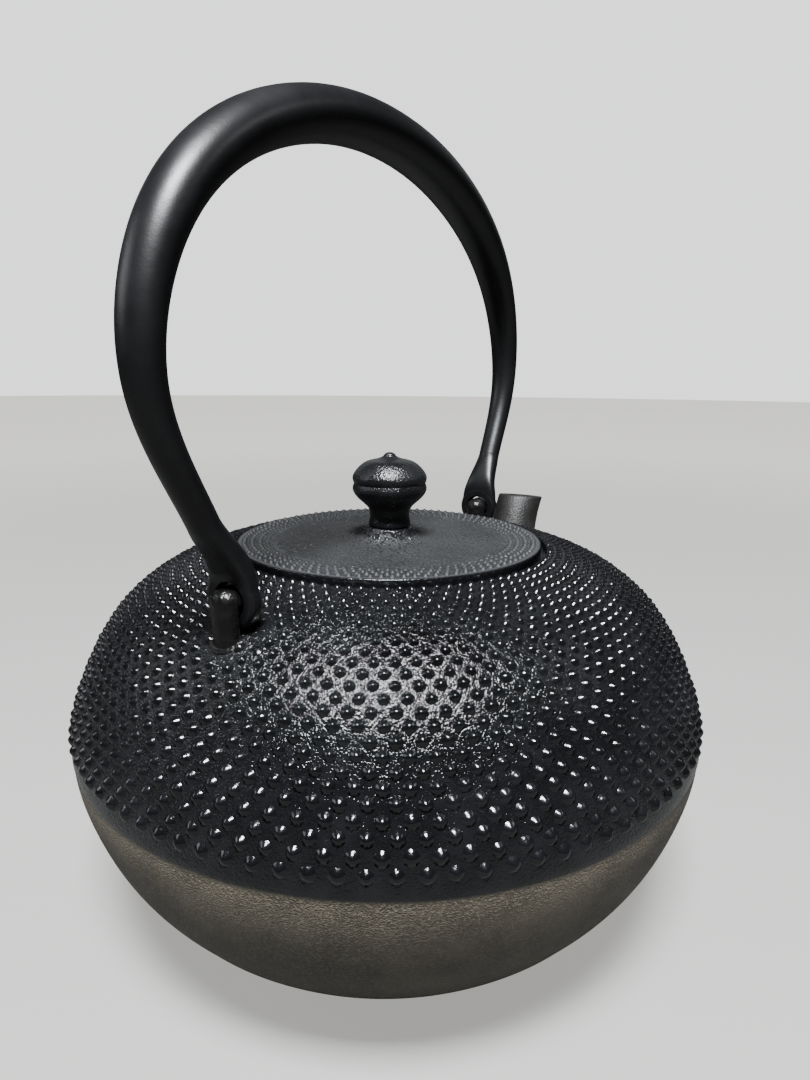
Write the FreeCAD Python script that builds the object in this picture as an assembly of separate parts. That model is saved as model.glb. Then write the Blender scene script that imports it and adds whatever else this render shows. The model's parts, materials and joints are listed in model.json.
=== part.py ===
"""Cast iron hailstone kettle: body with spout and two hoops, swinging bail, lift-off lid, riveted knob.

Units are millimetres. The origin is the centre of the flat base, +Z is up and +X points to the spout.
Each sub-part is one closed solid, written to parts/NODE.step.
"""
import FreeCAD, Part
import math
import os

Vector = FreeCAD.Vector
UP = Vector(0, 0, 1)
ALONG_X = Vector(1, 0, 0)
ORIGIN = Vector(0, 0, 0)

# ---------------------------------------------------------------- driving dimensions

# Kettle body
belly_radius = 99.4          # bare skin at the widest line
belly_height = 62.0          # height of the widest line
base_radius = 51.0           # flat base
wall = 3.2                   # shell of the casting
mouth_radius = 50.8          # wall of the recess that the lid lies in
mouth_height = 114.3         # top of the lip round the recess
lip_width = 1.0              # plain flat lip between the recess and the shoulder
recess_depth = 2.6           # from the lip down to the lid's seat
throat_radius = 44.0         # clear opening inside the seat
seat_thickness = 3.0

# Shoulder and bowl outlines: share of the way out to the belly radius, share of the way from the belly line
shoulder_shape = ((0.888, 0.365), (0.690, 0.668), (0.400, 0.873))
bowl_shape = ((0.955, 0.225), (0.846, 0.450), (0.627, 0.705), (0.330, 0.905))

# Lugs: a hoop of round bar with two legs, one hoop at the spout side and one at the back
lug_distance = 71.5          # from the kettle's axis to the middle of each hoop
bar_rise = 7.4               # axis of the bar above the bare shoulder, straight below it
bar_radius = 3.7
leg_thickness = 3.9          # along X
hoop_corner = 3.6            # rounding of the hoop's outer corners, seen from the side
leg_slant = 3.0              # degrees that the outer leg's outside leans in towards its foot

# Bail
bail_rise = 119.4            # centre line at the crown above the pivot
bail_half_width = 93.0       # centre line at the widest place
crown_thickness = 12.9       # outside of the oval tube at the crown, seen from the side
crown_width = 16.0           # the same along Y
neck_thickness = 7.0         # outside of the tube at its ends, seen from the side
neck_width = 8.4             # the same along Y
tube_wall = 1.5
bail_shape = ((0.452, 0.946), (0.913, 0.692), (0.993, 0.408), (0.859, 0.168))  # share of half width, of rise
taper_power = 1.5            # above 1, the bail keeps its crown section for longer before it thins

# Forged ends of the bail
eye_reach = 21.6             # from the pivot up the bail to the brazed joint with the tube
eye_thickness = 4.0          # along X
eye_rim = 3.5                # radial thickness of the ring
eye_edge = 0.9               # bevel on the ring's edges
spigot_length = 10.0         # tang inside the tube
eye_play = 0.4               # radial, ring round the bar
slot_play = 0.6              # each side, ring between the legs of the hoop
pocket_room = 0.7            # ring above the hollow cast under it
braze_gap = 0.05             # tang inside the tube
neck_end = 1.4               # height of the neck's last section above the pivot
neck_bend = (0.7, 7.8)       # where the neck turns down into the ring: out from the pivot, above it

# Neck between tube and ring: share of the way down, thickness in tube ends, width in ring diameters
neck_shape = ((0.30, 0.92, 0.62), (0.60, 0.80, 0.75), (0.80, 0.62, 0.88), (1.00, 0.54, 0.93))

# Lid
lid_rim_height = 4.1         # edge of the plate, above the seat
lid_gap = 1.9                # between the plate's edge and the recess wall
lid_plate = 3.2              # from the edge's top to the flat underside
lid_dish = 0.3               # fall of the plate's top from the edge to the foot of the cone
cone_radius = 14.5           # foot of the mound that carries the knob
cone_rise = 4.1
flange_depth = 8.0           # ring below the seat that keeps the lid in the mouth
flange_thickness = 2.5
flange_gap = 0.8             # between the ring and the throat
seat_gap = 0.1               # under the plate

# Knob, its shank and washer
knob_radius = 11.95
knob_height = 23.7           # from its foot to the tip
knob_foot_radius = 7.0
groove_depth = 0.45
shank_radius = 2.5
shank_gap = 0.08             # running fit in the lid
knob_gap = 0.2               # foot above the lid, and washer below it
washer_radius = 6.5
washer_thickness = 1.0
washer_play = 0.05           # washer's bore round the shank
peen_radius = 4.0
peen_height = 1.4
peen_bevel = 1.0

# Outlines of the knob's two bulges and its nipple: share of its radius, share of its height
lower_bulge = ((0.583, 0.020), (0.536, 0.135), (0.560, 0.225), (0.705, 0.315), (0.933, 0.430), (1.0, 0.515))
groove_at = 0.585            # share of the height
upper_bulge = ((1.0, 0.662), (0.929, 0.743), (0.795, 0.819), (0.615, 0.878), (0.290, 0.922), (0.160, 0.950))
nipple_shape = ((0.160, 0.950), (0.120, 0.983), (0.0, 1.0))

# Spout: centre line (x, z), slope of the line above level, half height and half width of the outside
spout_wall = 2.7
spout_line = (
    (82.0, 70.0, 22.0, 17.5, 13.5),
    (97.0, 77.5, 34.0, 13.6, 11.8),
    (107.5, 87.5, 56.0, 10.9, 10.3),
    (112.6, 99.0, 76.0, 9.7, 10.1),
    (116.2, 107.0, 62.0, 9.6, 10.0),
    (122.8, 115.5, 46.0, 9.9, 10.0),
)
spout_lip_x = 120.0          # middle of the lip
spout_lip_z = 112.5
spout_lip_tilt = 8.0         # degrees that the lip's cut dips outwards
spout_start = 10.0           # how far the passage starts inside its first section

# ---------------------------------------------------------------- values that follow from them

seat_height = mouth_height - recess_depth
seat_underside = seat_height - seat_thickness
lid_radius = mouth_radius - lid_gap
lid_bottom = seat_height + seat_gap
lid_edge_top = lid_bottom + lid_rim_height
knob_seat = lid_edge_top - lid_dish + cone_rise
eye_inner_radius = bar_radius + eye_play
eye_outer_radius = eye_inner_radius + eye_rim
slot_width = eye_thickness + 2 * slot_play
lug_length = slot_width + 2 * leg_thickness
clear_of_part = 400.0        # longer than anything here, for cutting tools


# ---------------------------------------------------------------- small tools

def spline(points, **ends):
    """Smooth curve through the points."""
    curve = Part.BSplineCurve()
    curve.interpolate(Points=points, **ends)
    return curve


def lathe(edges):
    """Solid of revolution about Z from edges that form a closed outline in the XZ plane."""
    face = Part.Face(Part.Wire(Part.__sortEdges__(edges)))
    return Part.makeSolid(face.revolve(ORIGIN, UP, 360))


def chain(points):
    """Straight edges through the points, in order."""
    return [Part.makeLine(a, b) for a, b in zip(points, points[1:])]


def radial(r, z):
    return Vector(r, 0, z)


def oval(centre, slope, half_height, half_width, corners=12):
    """Closed oval whose plane is square to a line in the XZ plane that rises at slope degrees from +X."""
    rise = math.radians(slope)
    across = Vector(-math.sin(rise), 0, math.cos(rise))
    ring = []
    for k in range(corners):
        turn = 2 * math.pi * k / corners
        ring.append(centre + across * (half_height * math.cos(turn))
                    + Vector(0, half_width * math.sin(turn), 0))
    curve = Part.BSplineCurve()
    curve.interpolate(Points=ring, PeriodicFlag=True)
    return Part.Wire(curve.toShape())


def slope_of(direction):
    return math.degrees(math.atan2(direction.z, direction.x))


def prism(outline, push):
    """Solid that pushes a closed flat outline along a vector."""
    return Part.Face(Part.Wire(Part.__sortEdges__(outline))).extrude(push)


# ---------------------------------------------------------------- kettle body

def outer_outline():
    """Curve from the edge of the base, round the belly, to the outer edge of the lip."""
    lip = mouth_radius + lip_width
    points = [radial(base_radius, 0)]
    for out, down in reversed(bowl_shape):
        points.append(radial(base_radius + (belly_radius - base_radius) * out, belly_height * (1 - down)))
    points.append(radial(belly_radius, belly_height))
    for out, rise in shoulder_shape:
        points.append(radial(lip + (belly_radius - lip) * out,
                             belly_height + (mouth_height - belly_height) * rise))
    points.append(radial(lip, mouth_height))
    return spline(points)


def inner_outline(outer, samples=14):
    """The same curve, one wall further in."""
    points = []
    for k in range(samples + 1):
        at = outer.FirstParameter + (outer.LastParameter - outer.FirstParameter) * k / samples
        along = outer.tangent(at)[0]
        points.append(outer.value(at) + Vector(-along.z, 0, along.x) * wall)
    return spline(points)


def revolved_under(curve):
    """Solid of everything between the axis and the curve."""
    start = curve.value(curve.FirstParameter)
    end = curve.value(curve.LastParameter)
    corners = [end, radial(0, end.z), radial(0, start.z), start]
    return lathe([curve.toShape()] + chain(corners))


def spout_solid(thinner=0.0, extend=0.0):
    """Loft through the spout's sections, with the radius reduced and both ends moved out."""
    sections = []
    last = len(spout_line) - 1
    for k, (x, z, slope, half_height, half_width) in enumerate(spout_line):
        shift = {0: -extend, last: extend}.get(k, 0.0)
        rise = math.radians(slope)
        centre = Vector(x + shift * math.cos(rise), 0, z + shift * math.sin(rise))
        sections.append(oval(centre, slope, half_height - thinner, half_width - thinner))
    return Part.makeLoft(sections, True, False)


def above_lip():
    """Block above the plane of the spout's lip."""
    half = clear_of_part / 2
    block = Part.makeBox(half, clear_of_part, half, Vector(-half / 2, -half, 0))
    block.rotate(ORIGIN, Vector(0, 1, 0), spout_lip_tilt)
    block.translate(Vector(spout_lip_x, 0, spout_lip_z))
    return block


def pivot_of(outline):
    """Middle of the bar at the spout side, a set rise above the bare shoulder straight below it."""
    low = outline.parameter(radial(belly_radius, belly_height))
    high = outline.LastParameter
    for _ in range(40):
        middle = (low + high) / 2
        if outline.value(middle).x > lug_distance:
            low = middle
        else:
            high = middle
    return Vector(lug_distance, 0, outline.value(low).z + bar_rise)


def lug(pivot):
    """Hoop at the spout side: two legs with round ends and tops, and the round bar between them."""
    inner_x = pivot.x - lug_length / 2
    outer_x = pivot.x + lug_length / 2
    top = pivot.z + bar_radius
    bottom = belly_height
    foot_x = outer_x - (top - hoop_corner - bottom) * math.tan(math.radians(leg_slant))
    diagonal = hoop_corner * (1 - math.sqrt(0.5))
    side = [Part.makeLine(radial(inner_x, bottom), radial(inner_x, top - hoop_corner)),
            Part.Arc(radial(inner_x, top - hoop_corner), radial(inner_x + diagonal, top - diagonal),
                     radial(inner_x + hoop_corner, top)).toShape(),
            Part.makeLine(radial(inner_x + hoop_corner, top), radial(outer_x - hoop_corner, top)),
            Part.Arc(radial(outer_x - hoop_corner, top), radial(outer_x - diagonal, top - diagonal),
                     radial(outer_x, top - hoop_corner)).toShape(),
            Part.makeLine(radial(outer_x, top - hoop_corner), radial(foot_x, bottom)),
            Part.makeLine(radial(foot_x, bottom), radial(inner_x, bottom))]
    from_side = prism(side, Vector(0, clear_of_part, 0))
    from_side.translate(Vector(0, -clear_of_part / 2, 0))

    left = Vector(0, -bar_radius, pivot.z)
    right = Vector(0, bar_radius, pivot.z)
    drop = UP * pivot.z
    front = [Part.makeLine(left - drop, left),
             Part.Arc(left, Vector(0, 0, top), right).toShape(),
             Part.makeLine(right, right - drop),
             Part.makeLine(right - drop, left - drop)]
    from_front = prism(front, ALONG_X * clear_of_part)

    half_straight = lug_length / 2 - bar_radius
    near = Vector(pivot.x - half_straight, bar_radius, 0)
    far = Vector(pivot.x + half_straight, bar_radius, 0)
    across = Vector(0, 2 * bar_radius, 0)
    plan = [Part.makeLine(near - across, far - across),
            Part.Arc(far - across, Vector(outer_x, 0, 0), far).toShape(),
            Part.makeLine(far, near),
            Part.Arc(near, Vector(inner_x, 0, 0), near - across).toShape()]
    from_above = prism(plan, UP * clear_of_part)
    block = from_side.common(from_front).common(from_above)
    slot = Part.makeBox(slot_width, clear_of_part, clear_of_part,
                        Vector(pivot.x - slot_width / 2, -clear_of_part / 2, 0))
    return block.cut(slot.cut(bar(pivot)))


def bar(pivot):
    return Part.makeCylinder(bar_radius, slot_width, pivot - ALONG_X * (slot_width / 2), ALONG_X)


def ring_room(pivot):
    """Space that the bail's ring turns in, round the bar and a little way into the shoulder below it."""
    start = pivot - ALONG_X * (slot_width / 2)
    room = Part.makeCylinder(eye_outer_radius + pocket_room, slot_width, start, ALONG_X)
    return room.cut(bar(pivot))


def to_back(shape):
    """The same shape at the back of the kettle, half a turn about Z."""
    turned = shape.copy()
    turned.rotate(ORIGIN, UP, 180)
    return turned


def kettle_casting(outer, pivot):
    """Bowl, shoulder with its two hoops, and spout. They meet face to face and are one casting."""
    skin = revolved_under(outer)
    below_seat = Part.makeCylinder(clear_of_part, seat_underside)
    cavity = revolved_under(inner_outline(outer)).common(below_seat)
    throat = Part.makeCylinder(throat_radius, clear_of_part, UP * (seat_underside - wall))
    recess = Part.makeCylinder(mouth_radius, clear_of_part, UP * seat_height)
    passage = spout_solid(spout_wall, spout_start)
    hoop = lug(pivot)
    room = ring_room(pivot)

    shell = skin.fuse([hoop, to_back(hoop)])
    shell = shell.cut([cavity, throat, recess, passage, room, to_back(room)])
    upper_half = Part.makeCylinder(clear_of_part, clear_of_part, UP * belly_height)
    spout = spout_solid().cut([above_lip(), passage, skin])
    return shell.cut(upper_half).removeSplitter(), shell.common(upper_half).removeSplitter(), spout


# ---------------------------------------------------------------- bail

def bail_curve(pivot):
    """Centre line of the whole bail, from the pivot at the back over the crown to the one at the spout side."""
    half = [pivot] + [Vector(bail_half_width * out, 0, pivot.z + bail_rise * rise)
                      for out, rise in reversed(bail_shape)]
    back = [Vector(-p.x, 0, p.z) for p in half]
    return spline(back + [Vector(0, 0, pivot.z + bail_rise)] + half[::-1])


def bail_section(curve, share, thinner):
    """Oval across the bail at a share of the way from the crown to the tube's end at the spout side."""
    half_length = curve.length() / 2
    at = curve.parameterAtDistance(half_length + (half_length - eye_reach) * share, curve.FirstParameter)
    swell = math.cos(math.pi / 2 * abs(share) ** taper_power) ** 2
    thickness = neck_thickness + (crown_thickness - neck_thickness) * swell
    width = neck_width + (crown_width - neck_width) * swell
    return oval(curve.value(at), slope_of(curve.tangent(at)[0]), thickness / 2 - thinner, width / 2 - thinner)


def bail_loft(curve, thinner, stations=24):
    """Loft of oval sections along the bail between its two brazed joints."""
    sections = [bail_section(curve, 2 * k / stations - 1, thinner) for k in range(stations + 1)]
    return Part.makeLoft(sections, True, False)


def handle_tube(pivot):
    curve = bail_curve(pivot)
    return bail_loft(curve, 0.0).cut(bail_loft(curve, tube_wall))


def eye_ring(pivot):
    """Ring round the lug's bar, its edges bevelled."""
    half = eye_thickness / 2
    section = [(-half, eye_inner_radius + eye_edge), (-half, eye_outer_radius - eye_edge),
               (eye_edge - half, eye_outer_radius), (half - eye_edge, eye_outer_radius),
               (half, eye_outer_radius - eye_edge), (half, eye_inner_radius + eye_edge),
               (half - eye_edge, eye_inner_radius), (eye_edge - half, eye_inner_radius)]
    corners = [pivot + Vector(x, 0, r) for x, r in section]
    face = Part.Face(Part.Wire(chain(corners + corners[:1])))
    return Part.makeSolid(face.revolve(pivot, ALONG_X, 360))


def handle_eye(pivot):
    """Solid end of the bail at the spout side: tang inside the tube, neck that spreads sideways, and ring."""
    curve = bail_curve(pivot)
    half_length = curve.length() / 2
    joint_at = curve.parameterAtDistance(2 * half_length - eye_reach, curve.FirstParameter)
    joint = curve.value(joint_at)
    bend = pivot + radial(*neck_bend)
    path = spline([joint, bend, pivot + UP * neck_end], InitialTangent=curve.tangent(joint_at)[0], FinalTangent=-UP)
    sections = [oval(joint, slope_of(path.tangent(path.FirstParameter)[0]), neck_thickness / 2, neck_width / 2)]
    for share, thickness, width in neck_shape:
        at = path.FirstParameter + (path.LastParameter - path.FirstParameter) * share
        sections.append(oval(path.value(at), slope_of(path.tangent(at)[0]),
                             thickness * neck_thickness / 2, width * eye_outer_radius))
    neck = Part.makeLoft(sections, True, False)
    hole = Part.makeCylinder(eye_inner_radius, lug_length, pivot - ALONG_X * (lug_length / 2), ALONG_X)
    tang = bail_loft(curve, tube_wall + braze_gap).common(Part.makeSphere(spigot_length, joint))
    return neck.cut(hole).fuse([eye_ring(pivot), tang]).removeSplitter()


# ---------------------------------------------------------------- lid and knob

def lid():
    flange_outer = throat_radius - flange_gap
    flange_inner = flange_outer - flange_thickness
    underside = lid_edge_top - lid_plate
    top = spline([radial(knob_foot_radius, knob_seat), radial(cone_radius, lid_edge_top - lid_dish),
                  radial(lid_radius, lid_edge_top)],
                 InitialTangent=Vector(1, 0, -1), FinalTangent=ALONG_X)
    hole = shank_radius + shank_gap
    corners = [radial(lid_radius, lid_edge_top), radial(lid_radius, lid_bottom),
               radial(flange_outer, lid_bottom), radial(flange_outer, lid_bottom - flange_depth),
               radial(flange_inner, lid_bottom - flange_depth), radial(flange_inner, underside),
               radial(hole, underside), radial(hole, knob_seat), radial(knob_foot_radius, knob_seat)]
    return lathe([top.toShape()] + chain(corners))


def lid_knob():
    """Knob with two bulges, a groove between them and a nipple; its shank ends in a peened head."""
    foot = knob_seat + knob_gap

    def at(out, share):
        return radial(knob_radius * out, foot + share * knob_height)

    groove = radial(knob_radius - groove_depth, foot + groove_at * knob_height)
    lower = spline([at(*share) for share in lower_bulge] + [groove])
    upper = spline([groove] + [at(*share) for share in upper_bulge])
    nipple = spline([at(*share) for share in nipple_shape], FinalTangent=-ALONG_X)

    head_top = lid_edge_top - lid_plate - knob_gap - washer_thickness
    head_bottom = head_top - peen_height
    corners = [at(*nipple_shape[-1]), radial(0, head_bottom), radial(peen_radius - peen_bevel, head_bottom),
               radial(peen_radius, head_bottom + peen_bevel), radial(peen_radius, head_top),
               radial(shank_radius, head_top), radial(shank_radius, foot),
               radial(knob_foot_radius, foot), at(*lower_bulge[0])]
    return lathe([lower.toShape(), upper.toShape(), nipple.toShape()] + chain(corners))


def knob_washer():
    top = lid_edge_top - lid_plate - knob_gap
    outside = Part.makeCylinder(washer_radius, washer_thickness, UP * (top - washer_thickness))
    bore = Part.makeCylinder(shank_radius + washer_play, clear_of_part)
    return outside.cut(bore)


# ---------------------------------------------------------------- write the sub-parts

def main():
    os.makedirs("parts", exist_ok=True)
    outline = outer_outline()
    pivot = pivot_of(outline)
    bowl, shoulder, spout = kettle_casting(outline, pivot)
    eye = handle_eye(pivot)
    parts = {
        "kettle_bowl": bowl,
        "kettle_shoulder": shoulder,
        "kettle_spout": spout,
        "lid": lid(),
        "lid_knob": lid_knob(),
        "knob_washer": knob_washer(),
        "handle_tube": handle_tube(pivot),
        "handle_eye_spout_side": eye,
        "handle_eye_back_side": to_back(eye),
    }
    for name, shape in parts.items():
        shape.exportStep(f"parts/{name}.step")
        print(f"{name}: {len(shape.Solids)} solid, valid {shape.isValid()}, {shape.Volume / 1000:.1f} cm3")
    print(f"pivot x {pivot.x:.3f}, z {pivot.z:.3f}")


main()
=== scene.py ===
"""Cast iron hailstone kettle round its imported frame: one operator for each piece, and one for the stage."""
import functools
import json
import math

import bmesh
import bpy
import numpy as np
from bpy.props import FloatProperty, FloatVectorProperty, IntProperty, PointerProperty
from bpy.types import Operator, Panel, PropertyGroup
from mathutils import Matrix, Vector


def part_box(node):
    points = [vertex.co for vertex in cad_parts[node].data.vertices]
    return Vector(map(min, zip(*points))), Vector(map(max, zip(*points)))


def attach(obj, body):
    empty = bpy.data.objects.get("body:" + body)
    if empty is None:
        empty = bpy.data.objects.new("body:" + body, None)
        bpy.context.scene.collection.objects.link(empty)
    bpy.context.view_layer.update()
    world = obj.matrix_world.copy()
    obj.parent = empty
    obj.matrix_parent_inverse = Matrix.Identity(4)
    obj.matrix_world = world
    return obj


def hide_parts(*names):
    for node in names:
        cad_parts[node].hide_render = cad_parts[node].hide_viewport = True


bl_info = {
    "name": "Hailstone Iron Kettle",
    "version": (1, 0, 0),
    "blender": (4, 5, 0),
    "location": "View3D > Sidebar > Kettle",
    "description": "Builds a cast iron kettle with hailstone studs, a knobbed lid and a swinging bail",
    "category": "Add Mesh",
}

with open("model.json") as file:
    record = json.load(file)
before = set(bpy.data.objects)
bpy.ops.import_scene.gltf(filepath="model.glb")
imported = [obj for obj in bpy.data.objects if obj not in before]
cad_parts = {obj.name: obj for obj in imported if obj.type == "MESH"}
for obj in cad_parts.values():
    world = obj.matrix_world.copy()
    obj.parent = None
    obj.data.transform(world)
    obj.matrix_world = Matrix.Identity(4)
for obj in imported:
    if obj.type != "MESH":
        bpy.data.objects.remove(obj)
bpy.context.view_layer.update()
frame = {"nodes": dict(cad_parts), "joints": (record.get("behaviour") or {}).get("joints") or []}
bowl_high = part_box("kettle_bowl")[1]
lid_low, lid_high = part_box("lid")
knob_low, knob_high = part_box("lid_knob")
washer_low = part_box("knob_washer")[0]
tube_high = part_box("handle_tube")[1]
PIVOT_HEIGHT = next(joint for joint in frame["joints"] if joint["name"] == "handle_swing")["pos_m"][2]

# Places on the outlines of the body and the bail, as shares of the way out and of the height
SHOULDER_SHAPE = ((0.888, 0.365), (0.690, 0.668), (0.400, 0.873))
BOWL_SHAPE = ((0.955, 0.225), (0.846, 0.450), (0.627, 0.705), (0.330, 0.905))
BAIL_SHAPE = ((0.452, 0.946), (0.913, 0.692), (0.993, 0.408), (0.859, 0.168))
# Outline of the knob below and above its groove, as shares of its radius and height
KNOB_LOWER = ((0.583, 0.000), (0.583, 0.020), (0.536, 0.135), (0.560, 0.225), (0.705, 0.315), (0.933, 0.430),
              (1.0, 0.515))
KNOB_UPPER = ((1.0, 0.662), (0.929, 0.743), (0.795, 0.819), (0.615, 0.878), (0.290, 0.922), (0.175, 0.950),
              (0.120, 0.983), (0.0, 1.0))
# Top of the lid round the knob: out, above the lid's edge
LID_COLLAR = ((0.0062, 0.0038), (0.0070, 0.0038), (0.0075, 0.0036))
LID_MOUND = ((0.0078, 0.0032), (0.0087, 0.0013), (0.0112, 0.0001), (0.0160, -0.0003))
# The spout's middle line: out, up, slope in degrees, half height and half width of the outside
SPOUT_LINE = (
    (0.0820, 0.0700, 22.0, 0.0175, 0.0135),
    (0.0970, 0.0775, 34.0, 0.0136, 0.0118),
    (0.1075, 0.0875, 56.0, 0.0109, 0.0103),
    (0.1126, 0.0990, 76.0, 0.0097, 0.0101),
    (0.1162, 0.1070, 62.0, 0.0096, 0.0100),
    (0.1228, 0.1155, 46.0, 0.0099, 0.0100),
    (0.1270, 0.1198, 44.0, 0.0099, 0.0100),
)
# The bail's forged end from the tube to the ring: share of the way, share of the tube's thickness,
# share of the ring's radius, and how square the section is
NECK_SHAPE = ((0.00, 1.00, 0.553, 2.0), (0.30, 0.92, 0.62, 2.9), (0.60, 0.80, 0.75, 4.2),
              (0.80, 0.62, 0.88, 5.0), (1.00, 0.54, 0.93, 5.0))

SPOUT_WALL = 0.0027
LIP_MIDDLE = (0.120, 0.1125)       # middle of the spout's lip, out and up
LIP_DIP = math.radians(8.0)        # how far the lip's cut dips outwards
BODY_STEPS = 120                   # points on the outer line of the body
LEDGE_RISE = 0.0012                # height over which the bare bowl steps back under the lacquer
LEDGE_DEPTH = 0.00030
SHANK_RADIUS = 0.0025
ON_AXIS = 1e-7                     # a point this near the axis is on it
SHARP = math.radians(40)           # edges steeper than this stay crisp
IRON_SHEEN = 0.34                  # specular level of plain lacquered or bare iron


# ---------------------------------------------------------------- sizes and colours

def length(name, description, default):
    return FloatProperty(name=name, description=description, default=default, min=0.0, unit="LENGTH",
                         precision=5)


def colour(name, description, default):
    return FloatVectorProperty(name=name, description=description, default=(*default, 1.0), size=4, min=0.0,
                               max=1.0, subtype="COLOR")


class KettleSizes(PropertyGroup):
    """Lengths of the kettle's pieces."""
    belly_radius: length("Belly radius", "Bare skin at the widest line", bowl_high[1])
    belly_height: length("Belly height", "Height of the widest line", bowl_high[2])
    base_radius: length("Base radius", "Flat that the kettle stands on", 0.051)
    wall: length("Wall", "Thickness of the casting", 0.0032)
    mouth_radius: length("Mouth radius", "Recess that the lid lies in", 0.0508)
    mouth_height: length("Mouth height", "Top of the lip", 0.1143)
    lip_width: length("Lip width", "Plain lip round the recess", 0.001)
    recess_depth: length("Recess depth", "From the lip down to the lid's seat", 0.0026)
    throat_radius: length("Throat radius", "Clear opening inside the seat", 0.044)
    seat_thickness: length("Seat thickness", "Ledge under the lid", 0.003)
    hoop_distance: length("Hoop distance", "From the axis to the middle of each hoop", 0.0715)
    hoop_length: length("Hoop length", "Over both legs of a hoop", 0.013)
    hoop_slot: length("Hoop slot", "Room between the legs", 0.0052)
    bar_radius: length("Bar radius", "Round bar at the top of each hoop", 0.0037)
    bail_half_width: length("Bail half width", "Axis to the bail's middle line", 0.0930)
    bail_rise: length("Bail rise", "Pivot to the middle line of the crown", 0.1194)
    crown_thickness: length("Crown thickness", "Tube at the crown, seen from the side", 0.0129)
    crown_width: length("Crown width", "Tube at the crown, seen from above", 2 * tube_high[1])
    neck_thickness: length("Neck thickness", "Tube at its ends, seen from the side", 0.0070)
    neck_width: length("Neck width", "Tube at its ends, seen from above", 0.0084)
    eye_reach: length("Eye reach", "From the pivot to the brazed joint", 0.0216)
    eye_thickness: length("Eye thickness", "Forged ring along the bar", 0.0040)
    eye_radius: length("Eye radius", "Outside of the forged ring", 0.0076)
    eye_hole: length("Eye hole", "Inside of the forged ring", 0.0041)
    lid_radius: length("Lid radius", "Edge of the lid", lid_high[1])
    lid_rim: length("Lid rim", "Height of the lid's edge", 0.0041)
    knob_radius: length("Knob radius", "Widest ring of the knob", knob_high[1])
    knob_height: length("Knob height", "Foot to tip", 0.0237)


class KettleStuds(PropertyGroup):
    """Hailstone pattern."""
    around: IntProperty(name="Studs around", description="Studs in each ring", default=100, min=8)
    rows: IntProperty(name="Rows", description="Rings of studs on the shoulder", default=24, min=1)
    first_row: length("First row", "Along the skin from the belly line", 0.0049)
    low_pitch: length("Pitch at belly", "Between rows at the belly", 0.0039)
    high_pitch: length("Pitch at lip", "Between rows at the lip", 0.00284)
    low_width: length("Width at belly", "Across a stud's foot at the belly", 0.0040)
    high_width: length("Width at lip", "Across a stud's foot at the lip", 0.0026)
    low_height: length("Height at belly", "How far a stud stands out at the belly", 0.00115)
    high_height: length("Height at lip", "How far a stud stands out at the lip", 0.00085)
    lid_rows: IntProperty(name="Lid rows", description="Rings of studs on the lid", default=4, min=1)
    lid_border: length("Lid border", "Plain border outside the lid's studs", 0.0024)
    lid_pitch: length("Lid pitch", "Between the lid's rows", 0.0024)
    lid_width: length("Lid stud width", "Across a stud's foot on the lid", 0.0022)
    lid_height: length("Lid stud height", "How far a lid stud stands out", 0.00085)
    grain_rows: IntProperty(name="Grain rows", description="Rings of coarse grain inside the lid's studs",
                            default=20, min=1)
    grain_pitch: length("Grain pitch", "Between rings of coarse grain", 0.0014)
    grain_width: length("Grain width", "Across a coarse grain's foot", 0.0021)
    grain_height: length("Grain height", "How far a coarse grain stands out", 0.00030)


class KettleColours(PropertyGroup):
    """Finishes of the kettle's pieces."""
    lacquer: colour("Lacquer", "Baked black on the shoulder", (0.0034, 0.0034, 0.0040))
    bare_skin: colour("Casting skin", "Matte underside below the belly", (0.064, 0.055, 0.040))
    lid_grey: colour("Lid grey", "Dry border of the lid", (0.020, 0.021, 0.023))
    hoop_brown: colour("Hoop brown", "Glossy black brown of the hoops", (0.0034, 0.0031, 0.0031))
    spout_grey: colour("Spout grey", "Dry grey brown of the spout", (0.012, 0.0108, 0.0102))
    bail_black: colour("Bail black", "Satin lacquer of the bail", (0.0032, 0.0032, 0.0037))
    brass: colour("Brass", "Washer under the lid", (0.56, 0.40, 0.16))
    floor: colour("Floor", "Pale floor of the stage", (0.78, 0.77, 0.74))


# ---------------------------------------------------------------- curves and meshes

def distances(line):
    """Distance along a line to each of its points."""
    return np.concatenate(([0.0], np.cumsum(np.linalg.norm(np.diff(line, axis=0), axis=1))))


def directions(line):
    """Unit vector along a line at each of its points."""
    along = np.gradient(line, axis=0)
    return along / np.linalg.norm(along, axis=1)[:, None]


def smooth_line(points, steps, start=None, end=None):
    """Even steps along the smooth curve through some points.

    The first two numbers of a point are its place, and any further ones change as smoothly as that does.
    A slope may be given at either end.
    """
    knots = np.array(points, dtype=float)
    at = distances(knots[:, :2])
    spans = np.diff(at)
    count = len(knots)
    matrix = np.zeros((count, count))
    right = np.zeros(knots.shape)
    matrix[0, 0] = 1.0
    matrix[-1, -1] = 1.0
    for k in range(1, count - 1):
        matrix[k, k - 1:k + 2] = (spans[k - 1], 2 * (spans[k - 1] + spans[k]), spans[k])
        right[k] = 6 * ((knots[k + 1] - knots[k]) / spans[k] - (knots[k] - knots[k - 1]) / spans[k - 1])
    if start is not None:
        matrix[0, :2] = (2 * spans[0], spans[0])
        right[0] = 6 * ((knots[1] - knots[0]) / spans[0] - np.array(start))
    if end is not None:
        matrix[-1, -2:] = (spans[-1], 2 * spans[-1])
        right[-1] = 6 * (np.array(end) - (knots[-1] - knots[-2]) / spans[-1])
    bend = np.linalg.solve(matrix, right)
    line = []
    for s in np.linspace(0.0, at[-1], steps):
        k = min(int(np.searchsorted(at, s, side="right")) - 1, count - 2)
        h = spans[k]
        a = (at[k + 1] - s) / h
        b = (s - at[k]) / h
        bent = (a ** 3 - a) * bend[k] + (b ** 3 - b) * bend[k + 1]
        line.append(a * knots[k] + b * knots[k + 1] + bent * h * h / 6)
    return np.array(line)


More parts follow.
